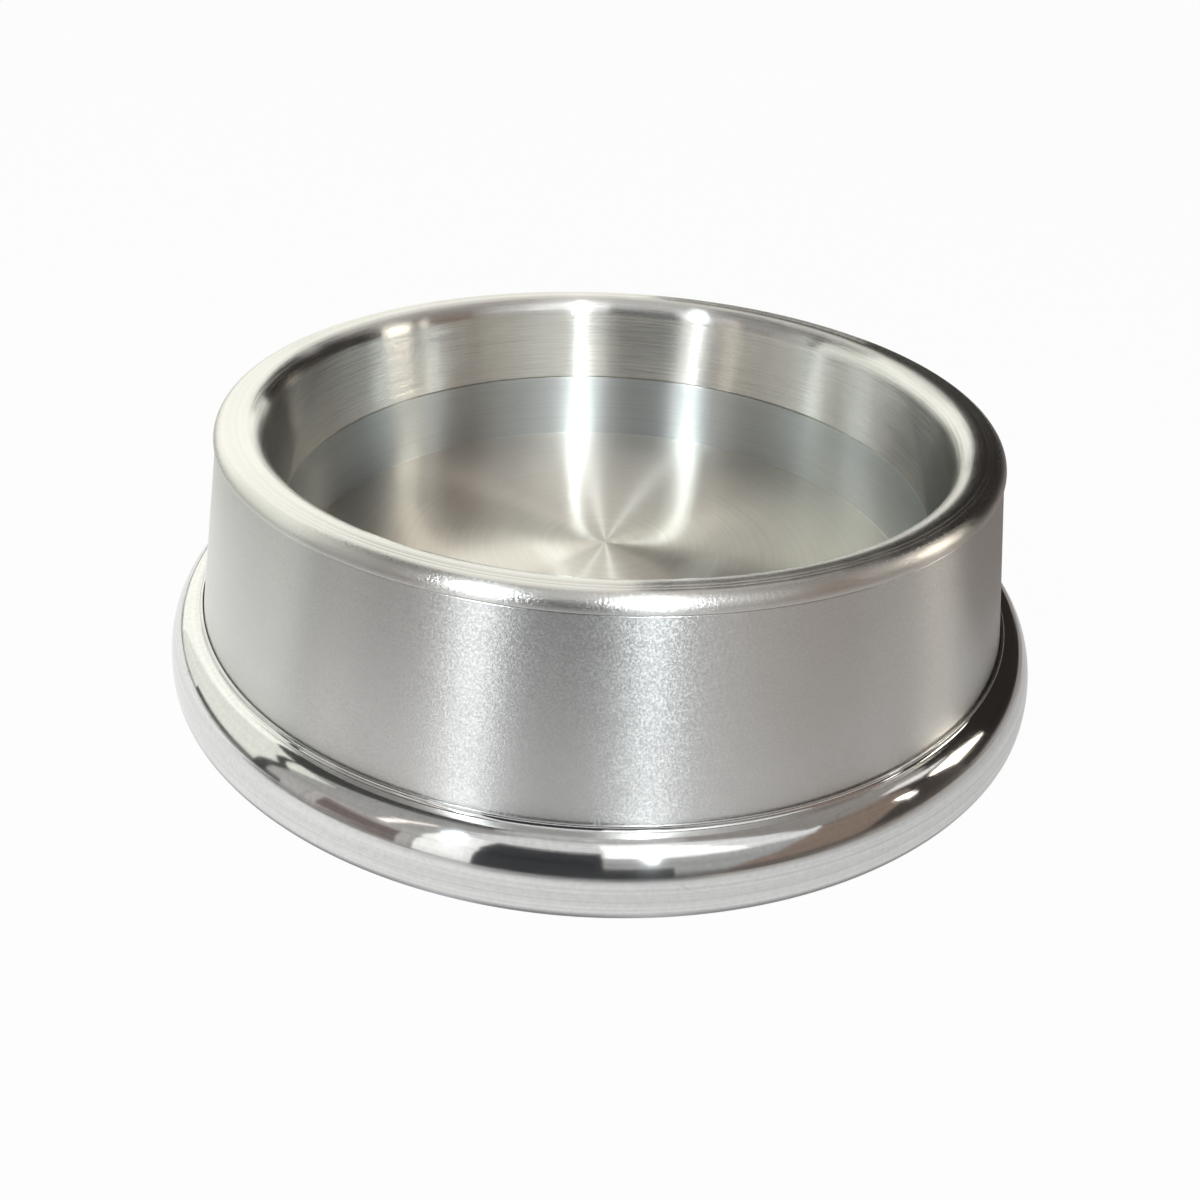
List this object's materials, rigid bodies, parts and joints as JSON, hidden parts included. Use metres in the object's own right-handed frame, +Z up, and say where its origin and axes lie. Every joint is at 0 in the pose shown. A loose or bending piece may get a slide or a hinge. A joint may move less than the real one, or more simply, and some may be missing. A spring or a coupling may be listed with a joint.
{
  "type": "dog dish",
  "caption": "Round aluminium feeding dish with a rolled rim, a turned crowned floor, a flared satin skirt and a wide polished foot ring that keeps it from tipping.",
  "frame": {"origin": "centre of the foot ring's underside, on the dish's axis, at the height of the surface that it stands on", "axes": "+Z up along the dish's axis; X and Y are free because the dish is round"},
  "size_m": [0.22, 0.22, 0.0605],
  "materials": {
    "turned_aluminium": "lathe turned floor with fine concentric grooves, satin lower wall",
    "polished_rim": "polished with faint turning lines",
    "satin_aluminium": "fine satin grain with faint brushing round the wall",
    "mirror_foot": "mirror polished with light scuffs"
  },
  "bodies": {
    "root": {"inner_bowl": "turned_aluminium", "rim_collar": "polished_rim", "outer_skirt": "satin_aluminium", "foot_ring": "mirror_foot"}
  },
  "joints": []
}
